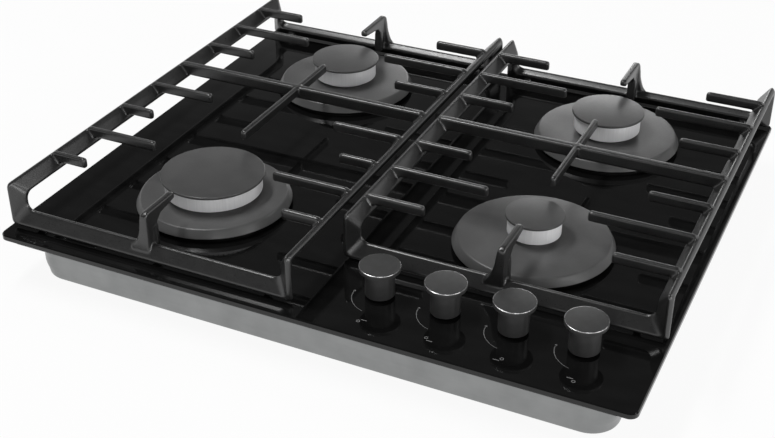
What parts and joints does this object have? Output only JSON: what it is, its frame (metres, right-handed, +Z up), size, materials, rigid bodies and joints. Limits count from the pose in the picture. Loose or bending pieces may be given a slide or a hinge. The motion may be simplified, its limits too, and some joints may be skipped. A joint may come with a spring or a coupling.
{
  "type": "gas cooktop",
  "caption": "Built-in gas cooktop: black glass top over a steel tray, burners with lift-off caps, lift-off cast pan supports and a row of push-and-turn control knobs.",
  "frame": {"origin": "centre of the glass top's footprint, on the plane of the tray's floor", "axes": "+X to the right and +Z up, as seen by the cook; the control knobs are at the front, towards -Y"},
  "size_m": [0.6, 0.52, 0.099],
  "materials": {
    "glass": "polished black, opaque",
    "pressed_steel": "satin",
    "cast_iron": "matt black enamel",
    "cap_enamel": "matt black enamel",
    "plate_enamel": "matt dark grey enamel",
    "ring_aluminium": "bright",
    "cast_aluminium": "as cast",
    "knob_plastic": "satin",
    "brass": "turned",
    "ceramic": "glazed",
    "probe_steel": "satin",
    "foam": "foam and soft rubber",
    "white_plastic": "moulded",
    "grey_plastic": "moulded"
  },
  "bodies": {
    "hob": {"lower_tray": "pressed_steel", "glass_top": "glass", "rim_seal": "foam", "base_plate_front_left": "plate_enamel", "burner_cup_front_left": "cast_aluminium", "gas_jet_front_left": "brass", "spark_plug_front_left": "ceramic", "thermocouple_front_left": "probe_steel", "base_plate_back_left": "plate_enamel", "burner_cup_back_left": "cast_aluminium", "gas_jet_back_left": "brass", "spark_plug_back_left": "ceramic", "thermocouple_back_left": "probe_steel", "base_plate_back_right": "plate_enamel", "burner_cup_back_right": "cast_aluminium", "gas_jet_back_right": "brass", "spark_plug_back_right": "ceramic", "thermocouple_back_right": "probe_steel", "base_plate_front_right": "plate_enamel", "burner_cup_front_right": "cast_aluminium", "gas_jet_front_right": "brass", "spark_plug_front_right": "ceramic", "thermocouple_front_right": "probe_steel", "gas_tap_front_left": "cast_aluminium", "gas_pipe_front_left": "ring_aluminium", "gas_tap_back_left": "cast_aluminium", "gas_pipe_back_left": "ring_aluminium", "gas_tap_back_right": "cast_aluminium", "gas_pipe_back_right": "ring_aluminium", "gas_tap_front_right": "cast_aluminium", "gas_pipe_front_right": "ring_aluminium", "gas_rail": "pressed_steel", "gas_inlet": "brass", "burner_bridge_left": "pressed_steel", "burner_bridge_right": "pressed_steel", "ignition_unit": "white_plastic", "terminal_block": "grey_plastic", "lead_gland": "foam"},
    "pan_support_left": {"pan_support_left": "cast_iron"},
    "pan_support_right": {"pan_support_right": "cast_iron"},
    "flame_ring_front_left": {"flame_ring_front_left": "ring_aluminium"},
    "burner_cap_front_left": {"burner_cap_front_left": "cap_enamel"},
    "tap_plug_front_left": {"tap_plug_front_left": "brass"},
    "knob_front_left": {"knob_front_left": "knob_plastic", "spindle_front_left": "probe_steel"},
    "flame_ring_back_left": {"flame_ring_back_left": "ring_aluminium"},
    "burner_cap_back_left": {"burner_cap_back_left": "cap_enamel"},
    "tap_plug_back_left": {"tap_plug_back_left": "brass"},
    "knob_back_left": {"knob_back_left": "knob_plastic", "spindle_back_left": "probe_steel"},
    "flame_ring_back_right": {"flame_ring_back_right": "ring_aluminium"},
    "burner_cap_back_right": {"burner_cap_back_right": "cap_enamel"},
    "tap_plug_back_right": {"tap_plug_back_right": "brass"},
    "knob_back_right": {"knob_back_right": "knob_plastic", "spindle_back_right": "probe_steel"},
    "flame_ring_front_right": {"flame_ring_front_right": "ring_aluminium"},
    "burner_cap_front_right": {"burner_cap_front_right": "cap_enamel"},
    "tap_plug_front_right": {"tap_plug_front_right": "brass"},
    "knob_front_right": {"knob_front_right": "knob_plastic", "spindle_front_right": "probe_steel"}
  },
  "joints": [
    {"name": "pan_support_left_lift", "type": "slide", "parent": "hob", "child": "pan_support_left", "axis": [0, 0, 1], "range_m": [0, 0.12]},
    {"name": "pan_support_right_lift", "type": "slide", "parent": "hob", "child": "pan_support_right", "axis": [0, 0, 1], "range_m": [0, 0.12]},
    {"name": "flame_ring_front_left_lift", "type": "slide", "parent": "hob", "child": "flame_ring_front_left", "axis": [0, 0, 1], "range_m": [0, 0.08]},
    {"name": "burner_cap_front_left_lift", "type": "slide", "parent": "flame_ring_front_left", "child": "burner_cap_front_left", "axis": [0, 0, 1], "range_m": [0, 0.06]},
    {"name": "flame_ring_back_left_lift", "type": "slide", "parent": "hob", "child": "flame_ring_back_left", "axis": [0, 0, 1], "range_m": [0, 0.08]},
    {"name": "burner_cap_back_left_lift", "type": "slide", "parent": "flame_ring_back_left", "child": "burner_cap_back_left", "axis": [0, 0, 1], "range_m": [0, 0.06]},
    {"name": "flame_ring_back_right_lift", "type": "slide", "parent": "hob", "child": "flame_ring_back_right", "axis": [0, 0, 1], "range_m": [0, 0.08]},
    {"name": "burner_cap_back_right_lift", "type": "slide", "parent": "flame_ring_back_right", "child": "burner_cap_back_right", "axis": [0, 0, 1], "range_m": [0, 0.06]},
    {"name": "flame_ring_front_right_lift", "type": "slide", "parent": "hob", "child": "flame_ring_front_right", "axis": [0, 0, 1], "range_m": [0, 0.08]},
    {"name": "burner_cap_front_right_lift", "type": "slide", "parent": "flame_ring_front_right", "child": "burner_cap_front_right", "axis": [0, 0, 1], "range_m": [0, 0.06]},
    {"name": "tap_front_left_turn", "type": "hinge", "parent": "hob", "child": "tap_plug_front_left", "pos_m": [0.058, -0.199, 0.02], "axis": [0, 0, 1], "range_deg": [0, 210]},
    {"name": "knob_front_left_push", "type": "slide", "parent": "tap_plug_front_left", "child": "knob_front_left", "axis": [0, 0, 1], "range_m": [-0.002, 0], "stiffness_N_per_m": 1500, "springref_m": 0.002},
    {"name": "tap_back_left_turn", "type": "hinge", "parent": "hob", "child": "tap_plug_back_left", "pos_m": [0.1183, -0.199, 0.02], "axis": [0, 0, 1], "range_deg": [0, 210]},
    {"name": "knob_back_left_push", "type": "slide", "parent": "tap_plug_back_left", "child": "knob_back_left", "axis": [0, 0, 1], "range_m": [-0.002, 0], "stiffness_N_per_m": 1500, "springref_m": 0.002},
    {"name": "tap_back_right_turn", "type": "hinge", "parent": "hob", "child": "tap_plug_back_right", "pos_m": [0.1786, -0.199, 0.02], "axis": [0, 0, 1], "range_deg": [0, 210]},
    {"name": "knob_back_right_push", "type": "slide", "parent": "tap_plug_back_right", "child": "knob_back_right", "axis": [0, 0, 1], "range_m": [-0.002, 0], "stiffness_N_per_m": 1500, "springref_m": 0.002},
    {"name": "tap_front_right_turn", "type": "hinge", "parent": "hob", "child": "tap_plug_front_right", "pos_m": [0.2389, -0.199, 0.02], "axis": [0, 0, 1], "range_deg": [0, 210]},
    {"name": "knob_front_right_push", "type": "slide", "parent": "tap_plug_front_right", "child": "knob_front_right", "axis": [0, 0, 1], "range_m": [-0.002, 0], "stiffness_N_per_m": 1500, "springref_m": 0.002}
  ]
}
